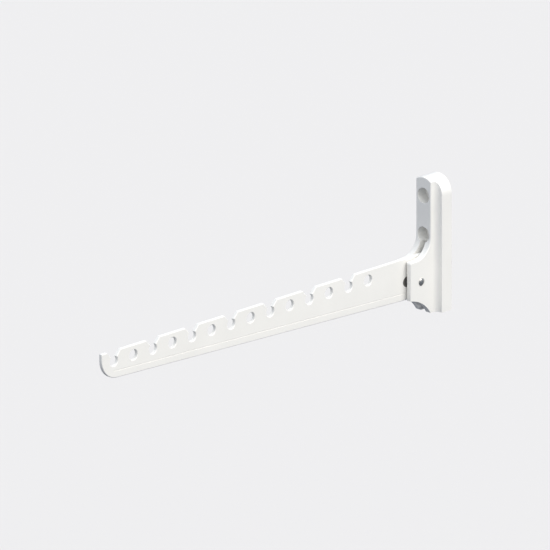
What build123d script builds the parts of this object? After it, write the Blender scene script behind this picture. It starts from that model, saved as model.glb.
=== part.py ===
"""Wall mounted fold down drying rack: a slotted wall bracket and one hanger arm that folds down on a pin.

Frame: millimetres, +Z up, the wall is the plane Y=0 and the rack stands out along -Y.
X=0 is the middle of the bracket and of the arm, and Z=0 is the height of the fold pin.
"""

from build123d import *

import math
import os

# Wall bracket: one length of profile, cut to a dome at the top
BRACKET_TOP = 75.8  # above the pin
BRACKET_BOTTOM = 26.0  # below the pin
FLANGE_DEPTH = 10.0
FLANGE_LIP = 1.7  # flat beside the cove
FLANGE_EDGE = 0.7
COVE_RADIUS = 3.8
BODY_STEP = 2.2  # straight side between the cove and the upper front face
BODY_EDGE = 0.7

# Cheeks that hold the arm
CHEEK_WALL = 4.9
CHEEK_LAP = 10.9  # before the pin
CHEEK_TOP = 16.4  # above the pin
CHEEK_BOTTOM = 12.6  # below the pin, at the front
CHEEK_CORNER = 1.2
CHEEK_LIP = 1.9  # rounding into the slot, at the front
CHEEK_LEVEL = 5.4  # level top, between the front and the hollow sweep up to the upper front face
UNDERCUT_RADIUS = 28.0  # hollow sweep under the cheeks
SLOT_CUTTER_RADIUS = 40.0  # the slot is sunk with a disc cutter
SLOT_WEB = 2.2  # least metal left behind the slot

# Screw holes
SCREW_DROP = 1.0  # upper screw below the dome's centre
SCREW_RISE = 0.8  # lower screw above the start of the sweep
SCREW_RADIUS = 2.75
SCREW_SEAT = 7.0  # metal under the screw's head
COUNTERBORE_RADIUS = 5.9

# Fold pin
PIN_DEPTH = 25.5  # from the wall to the pin's axis
PIN_RADIUS = 2.0
PIN_HEAD_LIP = 0.8  # head beyond the shank, on the radius
PIN_HEAD_HEIGHT = 1.1
PIN_HEAD_EDGE = 0.35  # short upright edge below the dome

# Hanger arm: a flat bar, level along the top
ARM_THICKNESS = 3.0
ARM_REACH = 321.0  # from the pin to the tip
ARM_ABOVE = 18.7  # top edge above the pin
ARM_FOLDED_GAP = 12.1  # bottom edge from the wall, level with the pin, when the arm hangs down
ARM_TIP_HEIGHT = 20.2
ARM_TIP_RADIUS = 16.0
ARM_EDGE = 0.4
ARM_BEHIND = 7.0  # root behind the pin
HEEL_FRONT = 3.7  # where the heel leaves the bottom edge, before the pin
HEEL_FLAT = 3.6  # where the heel's front ends, behind the pin
HEEL_RADIUS = 35.0
HEEL_CORNER = 1.5
GROOVE_WIDTH = 0.9
GROOVE_DEPTH = 0.2
GROOVE_RISE = 5.4  # above the bottom edge
GROOVE_END = 12.0  # stops this far from the tip

# Hanger places: notches and holes by turns, starting with a notch at the tip
HANGER_PITCH = 20.0
HANGER_FROM_TIP = 12.5
HANGER_CLEAR = 45.0  # the last one is at least this far before the pin
HANGER_RADIUS = 4.0
HANGER_WALL = 3.6  # metal above a hole
NOTCH_HALF_ANGLE = 42.0

# Slide liner in the arm, and the washers beside it
LINER_WALL = 1.85
LINER_OUT = 8.9  # centre of its outer end, before the pin
LINER_UP = 0.8  # centre of its outer end, above the pin
LINER_TRAVEL = 7.0  # length of its slot between end centres
WASHER_RIM = 3.15

# Clearances
SLOT_CLEARANCE = 1.1  # arm to cheek, each side
HEEL_CLEARANCE = 0.55  # heel to the back of the slot
PIN_CLEARANCE = 0.05  # pin to liner and washers, on the radius
WASHER_CLEARANCE = 0.1  # washer to arm

TOUCH = 0.01  # places this close are the same place

# Places worked out from the sizes above
pivot = (-PIN_DEPTH, 0)
half_arm = ARM_THICKNESS / 2
half_slot = half_arm + SLOT_CLEARANCE
half_body = half_slot + CHEEK_WALL
half_flange = half_body + COVE_RADIUS + FLANGE_LIP
body_depth = FLANGE_DEPTH + COVE_RADIUS + BODY_STEP
cheek_depth = PIN_DEPTH + CHEEK_LAP
dome_z = BRACKET_TOP - half_flange
sweep_radius = cheek_depth - CHEEK_LEVEL - body_depth
sweep_z = CHEEK_TOP + sweep_radius
screw_heights = (dome_z - SCREW_DROP, sweep_z + SCREW_RISE)
slot_centre = (-SLOT_WEB - SLOT_CUTTER_RADIUS, 0)
bore_radius = PIN_RADIUS + PIN_CLEARANCE
head_radius = PIN_RADIUS + PIN_HEAD_LIP
liner_radius = bore_radius + LINER_WALL
liner_length = math.hypot(LINER_OUT, LINER_UP)
liner_tilt = 180 - math.degrees(math.atan2(LINER_UP, LINER_OUT))
liner_middle = (-PIN_DEPTH - LINER_OUT / 2, LINER_UP / 2)
travel_share = LINER_TRAVEL / liner_length / 2
travel_middle = (-PIN_DEPTH - LINER_OUT * travel_share, LINER_UP * travel_share)
arm_below = PIN_DEPTH - ARM_FOLDED_GAP
arm_rise = ARM_ABOVE + arm_below - ARM_TIP_HEIGHT
arm_slope = math.degrees(math.atan2(arm_rise, ARM_REACH))
heel_reach = PIN_DEPTH - SLOT_WEB - HEEL_CLEARANCE
hanger_room = ARM_REACH - HANGER_FROM_TIP - HANGER_CLEAR
hanger_drop = HANGER_RADIUS + HANGER_WALL
hanger_places = [
    (HANGER_FROM_TIP - ARM_REACH - PIN_DEPTH + i * HANGER_PITCH, ARM_ABOVE - hanger_drop)
    for i in range(int(hanger_room / HANGER_PITCH) + 1)
]


def arm_bottom(before_pin):
    """Height of the arm's bottom edge at a distance before the pin."""
    return -arm_below + before_pin * arm_rise / ARM_REACH


def on_heel_circle(behind_pin):
    """Point of the heel's outline at a distance behind the pin."""
    return (behind_pin - PIN_DEPTH, -math.sqrt(heel_reach**2 - behind_pin**2))


def on_front(edge):
    """Whether an edge bounds the body's front: the upper front face, the sweep or the cheeks."""
    ends = [edge.position_at(0), edge.position_at(1)]
    at_front = all(end.Y < TOUCH - body_depth for end in ends)
    at_side = all(abs(end.X - half_body) < TOUCH for end in ends) or all(
        abs(end.X + half_body) < TOUCH for end in ends
    )
    above_undercut = edge.center().Z > -CHEEK_BOTTOM
    return at_front and ((at_side and above_undercut) or edge.center().Z > dome_z)


# Wall bracket
with BuildPart() as bracket:
    with BuildSketch(Plane.XY.offset(-BRACKET_BOTTOM)) as profile:
        with BuildLine():
            cove_top = (half_body + COVE_RADIUS, -FLANGE_DEPTH)
            cove_end = (half_body, -FLANGE_DEPTH - COVE_RADIUS)
            lip_front = (half_slot + CHEEK_LIP, -cheek_depth)
            lip_back = (half_slot, CHEEK_LIP - cheek_depth)
            Polyline((0, 0), (half_flange, 0), (half_flange, -FLANGE_DEPTH), cove_top)
            RadiusArc(cove_top, cove_end, -COVE_RADIUS)
            Polyline(cove_end, (half_body, -cheek_depth), lip_front)
            RadiusArc(lip_front, lip_back, CHEEK_LIP)
            Polyline(lip_back, (0, CHEEK_LIP - cheek_depth), (0, 0))
        make_face()
        fillet(profile.vertices().group_by(Axis.X)[-1].sort_by(Axis.Y)[0], FLANGE_EDGE)
        mirror(about=Plane.YZ)
    extrude(amount=BRACKET_TOP + BRACKET_BOTTOM)
    # Domed top, through the whole profile
    with BuildSketch(Plane.XZ) as front_view:
        with Locations((0, dome_z)):
            Circle(half_flange)
            Rectangle(2 * half_flange, dome_z + BRACKET_BOTTOM, align=(Align.CENTER, Align.MAX))
    extrude(amount=cheek_depth, mode=Mode.INTERSECT)
    # Side view: hollow sweep down to the cheeks, and the undercut
    with BuildSketch(Plane.YZ) as side_view:
        with BuildLine():
            sweep_end = (CHEEK_LEVEL - cheek_depth, CHEEK_TOP)
            cheek_low = (-cheek_depth, -CHEEK_BOTTOM)
            undercut_end = (-body_depth, -BRACKET_BOTTOM)
            Polyline((0, BRACKET_TOP), (-body_depth, BRACKET_TOP), (-body_depth, sweep_z))
            RadiusArc((-body_depth, sweep_z), sweep_end, sweep_radius)
            Polyline(sweep_end, (-cheek_depth, CHEEK_TOP), cheek_low)
            RadiusArc(cheek_low, undercut_end, UNDERCUT_RADIUS)
            Polyline(undercut_end, (0, -BRACKET_BOTTOM), (0, BRACKET_TOP))
        make_face()
        fillet(side_view.vertices().group_by(Axis.X)[0].sort_by(Axis.Y)[-1], CHEEK_CORNER)
    extrude(amount=half_flange, both=True, mode=Mode.INTERSECT)
    # Front edges of the body
    fillet(bracket.edges().filter_by(on_front), BODY_EDGE)
    # Slot for the arm
    with BuildSketch(Plane.YZ):
        with Locations(slot_centre):
            Circle(SLOT_CUTTER_RADIUS)
    extrude(amount=half_slot, both=True, mode=Mode.SUBTRACT)
    # Counterbored screw holes
    for screw_z in screw_heights:
        with Locations(Plane(origin=(0, -body_depth, screw_z), x_dir=(1, 0, 0), z_dir=(0, -1, 0))):
            CounterBoreHole(SCREW_RADIUS, COUNTERBORE_RADIUS, body_depth - SCREW_SEAT)
    # Pin hole through both cheeks
    with BuildSketch(Plane.YZ):
        with Locations(pivot):
            Circle(PIN_RADIUS)
    extrude(amount=half_body, both=True, mode=Mode.SUBTRACT)
bracket.part.label = "wall_bracket"

# Hanger arm
with BuildPart() as arm:
    with BuildSketch(Plane.YZ) as arm_view:
        with BuildLine():
            tip_y = -PIN_DEPTH - ARM_REACH
            root_top = (ARM_BEHIND - PIN_DEPTH, ARM_ABOVE)
            heel_back = on_heel_circle(ARM_BEHIND)
            heel_low = on_heel_circle(HEEL_FLAT)
            heel_top = (-PIN_DEPTH - HEEL_FRONT, arm_bottom(HEEL_FRONT))
            Polyline((tip_y, ARM_ABOVE), root_top, heel_back)
            RadiusArc(heel_back, heel_low, heel_reach)
            RadiusArc(heel_low, heel_top, HEEL_RADIUS)
            Polyline(heel_top, (tip_y, arm_bottom(ARM_REACH)), (tip_y, ARM_ABOVE))
        make_face()
        fillet(arm_view.vertices().group_by(Axis.X)[0].sort_by(Axis.Y)[0], ARM_TIP_RADIUS)
        fillet(arm_view.vertices().sort_by(Axis.Y)[0], HEEL_CORNER)
        with Locations(hanger_places):
            Circle(HANGER_RADIUS, mode=Mode.SUBTRACT)
        # The V of each notch runs out above the top edge
        notch_half = 2 * hanger_drop * math.tan(math.radians(NOTCH_HALF_ANGLE))
        for place_y, place_z in hanger_places[::2]:
            with BuildLine():
                left = (place_y - notch_half, place_z + 2 * hanger_drop)
                right = (place_y + notch_half, place_z + 2 * hanger_drop)
                Polyline((place_y, place_z), left, right, close=True)
            make_face(mode=Mode.SUBTRACT)
    extrude(amount=half_arm, both=True)
    # Eased edges all round
    chamfer(arm.faces().filter_by(Axis.X).edges(), ARM_EDGE)
    # Hole for the slide liner
    with BuildSketch(Plane.YZ):
        with Locations(Location((*liner_middle, 0), (0, 0, liner_tilt))):
            SlotCenterToCenter(liner_length, 2 * liner_radius)
    extrude(amount=half_arm, both=True, mode=Mode.SUBTRACT)
    # Shallow groove above the bottom edge, on both faces
    groove_length = ARM_BEHIND + ARM_REACH - GROOVE_END
    groove_before_pin = groove_length / 2 - ARM_BEHIND
    groove_middle = (-PIN_DEPTH - groove_before_pin, arm_bottom(groove_before_pin) + GROOVE_RISE)
    for side in (-1, 1):
        with BuildSketch(Plane.YZ.offset(side * half_arm)):
            with Locations(Location((*groove_middle, 0), (0, 0, -arm_slope))):
                Rectangle(groove_length, GROOVE_WIDTH)
        extrude(amount=-side * GROOVE_DEPTH, mode=Mode.SUBTRACT)
arm.part.label = "hanger_arm"

# Slide liner: lines the arm's hole and runs on the pin
with BuildPart() as liner:
    with BuildSketch(Plane.YZ):
        with Locations(Location((*liner_middle, 0), (0, 0, liner_tilt))):
            SlotCenterToCenter(liner_length, 2 * liner_radius)
        with Locations(Location((*travel_middle, 0), (0, 0, liner_tilt))):
            SlotCenterToCenter(LINER_TRAVEL, 2 * bore_radius, mode=Mode.SUBTRACT)
    extrude(amount=half_arm, both=True)
liner.part.label = "slide_liner"

# Washers between the arm and the cheeks
washers = []
for name, side in (("left_washer", -1), ("right_washer", 1)):
    with BuildPart() as washer:
        with BuildSketch(Plane.YZ.offset(side * half_slot)):
            with Locations(pivot):
                Circle(bore_radius + WASHER_RIM)
                Circle(bore_radius, mode=Mode.SUBTRACT)
        extrude(amount=-side * (SLOT_CLEARANCE - WASHER_CLEARANCE))
    washer.part.label = name
    washers.append(washer.part)

# Fold pin: a rivet with a low dome on each cheek
dome_rise = PIN_HEAD_HEIGHT - PIN_HEAD_EDGE
dome_radius = (head_radius**2 + dome_rise**2) / (2 * dome_rise)

with BuildPart() as pin:
    with BuildSketch(Plane(origin=(0, -PIN_DEPTH, 0), x_dir=(1, 0, 0), z_dir=(0, -1, 0))):
        with BuildLine():
            dome_start = (half_body + PIN_HEAD_EDGE, head_radius)
            dome_end = (half_body + PIN_HEAD_HEIGHT, 0)
            Polyline((0, 0), (0, PIN_RADIUS), (half_body, PIN_RADIUS), (half_body, head_radius), dome_start)
            RadiusArc(dome_start, dome_end, dome_radius)
            Line(dome_end, (0, 0))
        make_face()
        mirror(about=Plane.YZ)
    revolve(axis=Axis((0, -PIN_DEPTH, 0), (1, 0, 0)))
pin.part.label = "fold_pin"

os.makedirs("parts", exist_ok=True)
for piece in (bracket.part, arm.part, liner.part, pin.part, *washers):
    export_step(piece, f"parts/{piece.label}.step")
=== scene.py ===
"""Looks of a wall mounted fold down drying rack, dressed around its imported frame.

The frame is in metres, +Z up. The wall is the plane Y=0 and the arm stands out along -Y.
"""

import logging
import math
from dataclasses import dataclass
from enum import Enum

import bpy
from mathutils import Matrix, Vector


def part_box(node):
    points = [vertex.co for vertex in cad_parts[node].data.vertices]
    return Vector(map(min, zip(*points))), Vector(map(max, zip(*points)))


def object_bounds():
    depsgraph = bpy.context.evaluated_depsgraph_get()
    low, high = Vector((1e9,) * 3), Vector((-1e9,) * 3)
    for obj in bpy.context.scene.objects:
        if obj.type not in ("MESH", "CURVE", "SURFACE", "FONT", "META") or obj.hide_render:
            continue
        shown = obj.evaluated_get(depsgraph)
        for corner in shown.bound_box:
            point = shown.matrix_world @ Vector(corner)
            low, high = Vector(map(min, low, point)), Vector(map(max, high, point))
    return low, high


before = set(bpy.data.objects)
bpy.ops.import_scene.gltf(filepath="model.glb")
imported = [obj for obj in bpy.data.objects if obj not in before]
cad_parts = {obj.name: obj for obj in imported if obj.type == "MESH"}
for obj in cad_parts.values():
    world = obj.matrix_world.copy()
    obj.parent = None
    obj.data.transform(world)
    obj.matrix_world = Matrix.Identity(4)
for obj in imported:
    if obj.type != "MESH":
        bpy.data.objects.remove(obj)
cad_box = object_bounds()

log = logging.getLogger("drying_rack")

MM = 0.001

# Nearly all of a noise texture's values lie between these two
NOISE_LOW = 0.3
NOISE_HIGH = 0.7
# A ring texture's wave turns through this many radians in one unit at scale 1
RING_RADIANS = 20

# The sRGB curve: a straight toe, then a power of the shifted value
FULL_BYTE = 255
SRGB_TOE = 0.04045
SRGB_TOE_SLOPE = 12.92
SRGB_OFFSET = 0.055
SRGB_POWER = 2.4


def linear(hex_colour: str) -> tuple[float, float, float, float]:
    """Turn an sRGB hex colour into the linear colour that a shader socket takes.

    Args:
        hex_colour: Six hex digits, such as "F2F1EC".

    Returns:
        Linear red, green and blue, then a full alpha.
    """
    shares = [part / FULL_BYTE for part in bytes.fromhex(hex_colour)]
    curve = [
        share / SRGB_TOE_SLOPE if share <= SRGB_TOE
        else ((share + SRGB_OFFSET) / (1 + SRGB_OFFSET)) ** SRGB_POWER
        for share in shares]
    return (*curve, 1.0)


def add_node(tree: bpy.types.NodeTree, kind: str, settings: dict | None = None,
             inputs: dict | None = None) -> bpy.types.Node:
    """Add one shader node, with its settings, its input values and its links.

    Args:
        tree: The material's node tree.
        kind: Blender's name for the node type.
        settings: Attribute names and values.
        inputs: Input names or numbers, each with a value or with the output socket that feeds it.

    Returns:
        The new node.
    """
    node = tree.nodes.new(kind)
    for name, value in (settings or {}).items():
        setattr(node, name, value)
    for name, value in (inputs or {}).items():
        if isinstance(value, bpy.types.NodeSocket):
            tree.links.new(value, node.inputs[name])
        else:
            node.inputs[name].default_value = value
    return node


def blank_material(name: str) -> tuple[bpy.types.Material, bpy.types.NodeTree]:
    """Make an empty node material.

    Args:
        name: The material's name.

    Returns:
        The material and its cleared node tree.
    """
    material = bpy.data.materials.new(name)
    material.use_nodes = True
    material.node_tree.nodes.clear()
    return material, material.node_tree


def set_ramp(node: bpy.types.Node, stops: tuple[tuple[float, str], ...]) -> None:
    """Set every stop of a colour ramp.

    Args:
        node: The ramp's node.
        stops: Each stop's position and hex colour, in order.
    """
    ramp = node.color_ramp.elements
    while len(ramp) < len(stops):
        ramp.new(stops[-1][0])
    for stop, (position, colour) in zip(ramp, stops):
        stop.position = position
        stop.color = linear(colour)


class Grain(Enum):
    """How coarse a surface's texture is, as the distance between its bumps in metres."""

    ORANGE_PEEL = 1.1 * MM
    COAT_DUST = 0.22 * MM
    SPARK_EROSION = 0.28 * MM
    TUMBLED_STEEL = 0.35 * MM


@dataclass(frozen=True)
class PowderCoat:
    """Polyester powder coat, baked on aluminium: satin white, with a soft orange peel in its gloss.

    Attributes:
        name: The material's name.
        colour: The white, as hex.
        shade: The white where the film is thin, as hex.
        glossy: The lowest roughness.
        dull: The highest roughness.
        drift_span: How far the white goes before it changes, in metres.
        melt_span: The same for the gloss.
        peel_depth: The height of the orange peel in metres.
        dust_depth: The height of the fine grain on it in metres.
    """

    name: str
    colour: str
    shade: str
    glossy: float = 0.32
    dull: float = 0.41
    drift_span: float = 35 * MM
    melt_span: float = 3 * MM
    peel_depth: float = 0.012 * MM
    dust_depth: float = 0.002 * MM

    def material(self) -> bpy.types.Material:
        """Build the coat.

        Returns:
            The finished material.
        """
        material, tree = blank_material(self.name)
        place = add_node(tree, "ShaderNodeTexCoord").outputs["Object"]
        # Film thickness drifts over a few centimetres, which moves the white a little
        drift = add_node(tree, "ShaderNodeTexNoise", inputs={
            "Vector": place, "Scale": 1 / self.drift_span, "Detail": 2.0, "Roughness": 0.5})
        tone = add_node(tree, "ShaderNodeValToRGB", inputs={"Fac": drift.outputs["Fac"]})
        set_ramp(tone, ((NOISE_LOW, self.shade), (NOISE_HIGH, self.colour)))
        # The gloss is patchy at the scale of the melted powder grains
        melt = add_node(tree, "ShaderNodeTexNoise", inputs={
            "Vector": place, "Scale": 1 / self.melt_span, "Detail": 3.0, "Roughness": 0.6})
        gloss = add_node(tree, "ShaderNodeMapRange", inputs={
            "Value": melt.outputs["Fac"], "From Min": NOISE_LOW, "From Max": NOISE_HIGH,
            "To Min": self.glossy, "To Max": self.dull})
        peel = add_node(tree, "ShaderNodeTexNoise", inputs={
            "Vector": place, "Scale": 1 / Grain.ORANGE_PEEL.value, "Detail": 1.0, "Roughness": 0.4})
        dust = add_node(tree, "ShaderNodeTexNoise", inputs={
            "Vector": place, "Scale": 1 / Grain.COAT_DUST.value, "Detail": 1.0, "Roughness": 0.5})
        fine = add_node(tree, "ShaderNodeBump", inputs={
            "Height": dust.outputs["Fac"], "Strength": 1.0, "Distance": self.dust_depth})
        bump = add_node(tree, "ShaderNodeBump", inputs={
            "Height": peel.outputs["Fac"], "Normal": fine.outputs["Normal"],
            "Strength": 1.0, "Distance": self.peel_depth})
        shader = add_node(tree, "ShaderNodeBsdfPrincipled", inputs={
            "Base Color": tone.outputs["Color"], "Roughness": gloss.outputs["Result"],
            "Normal": bump.outputs["Normal"], "IOR": 1.5, "Metallic": 0.0})
        add_node(tree, "ShaderNodeOutputMaterial", inputs={"Surface": shader.outputs["BSDF"]})
        return material


@dataclass(frozen=True)
class RivetSteel:
    """Stainless rivet wire with a headed end: bright, with faint turned rings round its axis.

    Attributes:
        name: The material's name.
        colour: The steel's colour as hex.
        axis_y: The rivet's axis along Y, in metres.
        axis_z: Its height in metres.
        glossy: The lowest roughness.
        dull: The highest roughness.
        ring_pitch: The distance from ring to ring in metres.
        ring_depth: The rings' height in metres.
    """

    name: str
    colour: str
    axis_y: float
    axis_z: float
    glossy: float = 0.18
    dull: float = 0.32
    ring_pitch: float = 0.3 * MM
    ring_depth: float = 0.004 * MM

    def material(self) -> bpy.types.Material:
        """Build the steel.

        Returns:
            The finished material.
        """
        material, tree = blank_material(self.name)
        place = add_node(tree, "ShaderNodeTexCoord").outputs["Object"]
        centred = add_node(tree, "ShaderNodeMapping", {"vector_type": "POINT"}, {
            "Vector": place, "Location": (0.0, -self.axis_y, -self.axis_z)})
        rings = add_node(tree, "ShaderNodeTexWave", {
            "wave_type": "RINGS", "rings_direction": "X", "wave_profile": "SIN"}, {
            "Vector": centred.outputs["Vector"], "Scale": math.tau / RING_RADIANS / self.ring_pitch,
            "Distortion": 0.6, "Detail": 1.0, "Detail Scale": 2.0})
        rub = add_node(tree, "ShaderNodeTexNoise", inputs={
            "Vector": place, "Scale": 1 / Grain.TUMBLED_STEEL.value, "Detail": 2.0, "Roughness": 0.5})
        gloss = add_node(tree, "ShaderNodeMapRange", inputs={
            "Value": rub.outputs["Fac"], "From Min": NOISE_LOW, "From Max": NOISE_HIGH,
            "To Min": self.glossy, "To Max": self.dull})
        bump = add_node(tree, "ShaderNodeBump", inputs={
            "Height": rings.outputs["Fac"], "Strength": 1.0, "Distance": self.ring_depth})
        shader = add_node(tree, "ShaderNodeBsdfPrincipled", inputs={
            "Base Color": linear(self.colour), "Roughness": gloss.outputs["Result"],
            "Normal": bump.outputs["Normal"], "Metallic": 1.0})
        add_node(tree, "ShaderNodeOutputMaterial", inputs={"Surface": shader.outputs["BSDF"]})
        return material


@dataclass(frozen=True)
class MouldedPlastic:
    """Injection moulded plastic with the mould's fine spark-eroded texture.

    Attributes:
        name: The material's name.
        colour: The plastic's colour as hex.
        worn_colour: Its colour where it is rubbed, as hex.
        dull: The roughness as moulded.
        rubbed: The roughness where it is rubbed.
        texture_depth: The mould texture's height in metres.
        rub_span: The size of a rubbed patch in metres.
        rub_from: The noise value at which a patch begins.
        rub_full: The noise value at which it is fully rubbed.
    """

    name: str
    colour: str
    worn_colour: str
    dull: float
    rubbed: float
    texture_depth: float = 0.01 * MM
    rub_span: float = 2.5 * MM
    rub_from: float = 0.45
    rub_full: float = 0.75

    def material(self) -> bpy.types.Material:
        """Build the plastic.

        Returns:
            The finished material.
        """
        material, tree = blank_material(self.name)
        place = add_node(tree, "ShaderNodeTexCoord").outputs["Object"]
        rub = add_node(tree, "ShaderNodeTexNoise", inputs={
            "Vector": place, "Scale": 1 / self.rub_span, "Detail": 3.0, "Roughness": 0.6})
        tone = add_node(tree, "ShaderNodeValToRGB", inputs={"Fac": rub.outputs["Fac"]})
        set_ramp(tone, ((self.rub_from, self.colour), (self.rub_full, self.worn_colour)))
        gloss = add_node(tree, "ShaderNodeMapRange", inputs={
            "Value": rub.outputs["Fac"], "From Min": NOISE_LOW, "From Max": NOISE_HIGH,
            "To Min": self.dull, "To Max": self.rubbed})
        eroded = add_node(tree, "ShaderNodeTexNoise", inputs={
            "Vector": place, "Scale": 1 / Grain.SPARK_EROSION.value, "Detail": 2.0, "Roughness": 0.6})
        bump = add_node(tree, "ShaderNodeBump", inputs={
            "Height": eroded.outputs["Fac"], "Strength": 1.0, "Distance": self.texture_depth})
        shader = add_node(tree, "ShaderNodeBsdfPrincipled", inputs={
            "Base Color": tone.outputs["Color"], "Roughness": gloss.outputs["Result"],
            "Normal": bump.outputs["Normal"], "IOR": 1.48, "Metallic": 0.0})
        add_node(tree, "ShaderNodeOutputMaterial", inputs={"Surface": shader.outputs["BSDF"]})
        return material


def dress(node_name: str, material: bpy.types.Material) -> None:
    """Give a node of the frame one material all over.

    Args:
        node_name: The node's name in the frame.
        material: Its finished material.
    """
    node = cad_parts[node_name]
    node.data.materials.clear()
    node.data.materials.append(material)
    log.info("dressed %s in %s", node_name, material.name)


@dataclass
class WallBracket:
    """The coated profile that is screwed to the wall."""

    coat: PowderCoat = PowderCoat(name="bracket_powder_coat", colour="F1F0EC", shade="ECEBE7")

    def dress(self) -> None:
        """Dress the bracket."""
        dress("wall_bracket", self.coat.material())


@dataclass
class HangerArm:
    """The coated flat bar with its hanger notches and holes."""

    coat: PowderCoat = PowderCoat(name="arm_powder_coat", colour="F1F0EC", shade="EDECE8")

    def dress(self) -> None:
        """Dress the arm."""
        dress("hanger_arm", self.coat.material())


@dataclass
class FoldJoint:
    """What the arm turns on: the rivet, the slide liner and two washers."""

    liner: MouldedPlastic = MouldedPlastic(
        name="black_acetal", colour="5C5B58", worn_colour="666560", dull=0.47, rubbed=0.34)
    nylon: MouldedPlastic = MouldedPlastic(
        name="natural_nylon", colour="E4E0D2", worn_colour="DAD5C6", dull=0.45, rubbed=0.32,
        texture_depth=0.004 * MM)

    def dress(self) -> None:
        """Dress the rivet, the liner and the washers."""
        low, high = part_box("fold_pin")
        middle = (low + high) / 2
        steel = RivetSteel(name="rivet_stainless", colour="C9C8C4", axis_y=middle.y, axis_z=middle.z)
        dress("fold_pin", steel.material())
        dress("slide_liner", self.liner.material())
        nylon = self.nylon.material()
        for washer in ("left_washer", "right_washer"):
            dress(washer, nylon)


@dataclass(frozen=True)
class View:
    """Where the camera stands and what it frames.

    Attributes:
        azimuth: The way round from -Y towards +X, in radians.
        elevation: The way up from the horizon, in radians.
        width: The picture's width at the object, in metres.
        aim_right: How far right of the object's middle the camera aims, in metres.
        aim_up: How far above it the camera aims, in metres.
        stand_off: The distance from the aim to the camera in metres.
    """

    azimuth: float = math.radians(45)
    elevation: float = math.radians(18.5)
    width: float = 0.3979
    aim_right: float = 0.00386
    aim_up: float = 0.0128
    stand_off: float = 1.5

    def back(self) -> Vector:
        """Give the unit vector from the object to the camera.

        Returns:
            The vector.
        """
        level = math.cos(self.elevation)
        return Vector((
            math.sin(self.azimuth) * level, -math.cos(self.azimuth) * level, math.sin(self.elevation)))


@dataclass(frozen=True)
class Sun:
    """A broad soft lamp, far off.

    Attributes:
        direction: The way from the object to the lamp.
        strength: Its strength in watts a square metre.
        spread: The angle that it fills, in radians.
        colour: Its colour as hex.
    """

    direction: tuple[float, float, float]
    strength: float
    spread: float
    colour: str


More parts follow.
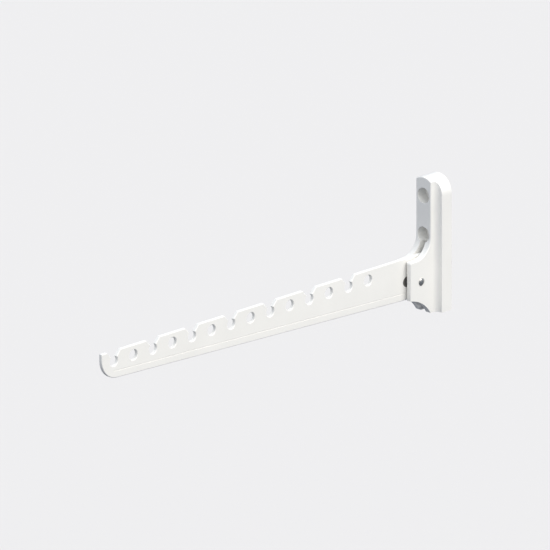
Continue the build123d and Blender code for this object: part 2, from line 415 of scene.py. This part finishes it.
@dataclass
class Studio:
    """A pale floor, a room that is darker below the horizon, the lamps and the camera.

    Attributes:
        view: Where the camera stands.
        back_sun: The main lamp, above the wall's side.
        front_sun: The weaker lamp, in front.
        floor_side: The floor's side in metres.
        floor_gap: How much further down the floor lies than the arm reaches out, in metres.
        floor_colour: The floor's colour as hex.
        room_strength: How brightly the room shines.
        room_shades: Its colours from straight down (0) to straight up (1).
    """

    view: View = View()
    back_sun: Sun = Sun(
        direction=(0.75, 0.14, 0.62), strength=2.0, spread=math.radians(50), colour="FFF9EE")
    front_sun: Sun = Sun(
        direction=(0.60, -0.60, 0.50), strength=0.6, spread=math.radians(40), colour="FFFAF1")
    floor_side: float = 60.0
    floor_gap: float = 0.03
    floor_colour: str = "D5D3D1"
    room_strength: float = 1.2
    room_shades: tuple[tuple[float, str], ...] = (
        (0.0, "5C5F68"), (0.44, "828790"), (0.56, "A8AEB9"), (1.0, "ECF2FC"))

    def floor(self) -> None:
        """Lay the floor further down than the arm reaches out, so that the hanging tip clears it."""
        low, _ = cad_box
        height = -abs(low.y) - self.floor_gap
        bpy.ops.object.select_all(action="DESELECT")
        bpy.ops.mesh.primitive_plane_add(size=self.floor_side, location=(0, 0, height))
        floor = bpy.context.object
        floor.name = "studio_floor"
        bpy.ops.object.transform_apply(location=True, rotation=False, scale=False)
        floor.visible_diffuse = False
        floor.visible_glossy = False
        material, tree = blank_material("studio_paper")
        shader = add_node(tree, "ShaderNodeBsdfDiffuse", inputs={"Color": linear(self.floor_colour)})
        add_node(tree, "ShaderNodeOutputMaterial", inputs={"Surface": shader.outputs["BSDF"]})
        floor.data.materials.append(material)

    def sky(self) -> None:
        """Fill the room with soft, slightly cool light, weaker from below."""
        world = bpy.data.worlds.new("studio_room")
        world.use_nodes = True
        tree = world.node_tree
        tree.nodes.clear()
        way = add_node(tree, "ShaderNodeTexCoord").outputs["Generated"]
        height = add_node(tree, "ShaderNodeSeparateXYZ", inputs={"Vector": way}).outputs["Z"]
        share = add_node(tree, "ShaderNodeMapRange", inputs={"Value": height, "From Min": -1.0})
        shade = add_node(tree, "ShaderNodeValToRGB", inputs={"Fac": share.outputs["Result"]})
        set_ramp(shade, self.room_shades)
        background = add_node(tree, "ShaderNodeBackground", inputs={
            "Color": shade.outputs["Color"], "Strength": self.room_strength})
        add_node(tree, "ShaderNodeOutputWorld", inputs={"Surface": background.outputs["Background"]})
        bpy.context.scene.world = world

    def lamp(self, name: str, sun: Sun) -> None:
        """Hang one sun.

        Args:
            name: The lamp's name.
            sun: Its direction, strength, spread and colour.
        """
        away = Vector(sun.direction).normalized()
        bpy.ops.object.light_add(type="SUN", location=away)
        lamp = bpy.context.object
        lamp.name = name
        lamp.rotation_euler = (-away).to_track_quat("-Z", "Y").to_euler()
        lamp.data.energy = sun.strength
        lamp.data.angle = sun.spread
        lamp.data.color = linear(sun.colour)[:3]

    def camera(self) -> None:
        """Stand the camera off with a parallel view, so that level lines stay parallel."""
        view = self.view
        back = view.back()
        right = Vector((math.cos(view.azimuth), math.sin(view.azimuth), 0))
        centre = (cad_box[0] + cad_box[1]) / 2
        aim = centre + right * view.aim_right + back.cross(right) * view.aim_up
        bpy.ops.object.camera_add(location=aim + back * view.stand_off)
        camera = bpy.context.object
        camera.name = "studio_camera"
        camera.rotation_euler = (-back).to_track_quat("-Z", "Y").to_euler()
        camera.data.type = "ORTHO"
        camera.data.ortho_scale = view.width
        bpy.context.scene.camera = camera

    def build(self) -> None:
        """Build the whole studio."""
        bpy.context.scene.view_settings.view_transform = "Standard"
        self.floor()
        self.sky()
        self.lamp("back_sun", self.back_sun)
        self.lamp("front_sun", self.front_sun)
        self.camera()
        log.info("built the studio")


def main() -> None:
    """Dress the rack and build the studio around it."""
    logging.basicConfig(level=logging.INFO, format="%(message)s")
    WallBracket().dress()
    HangerArm().dress()
    FoldJoint().dress()
    Studio().build()


if __name__ == "__main__":
    main()
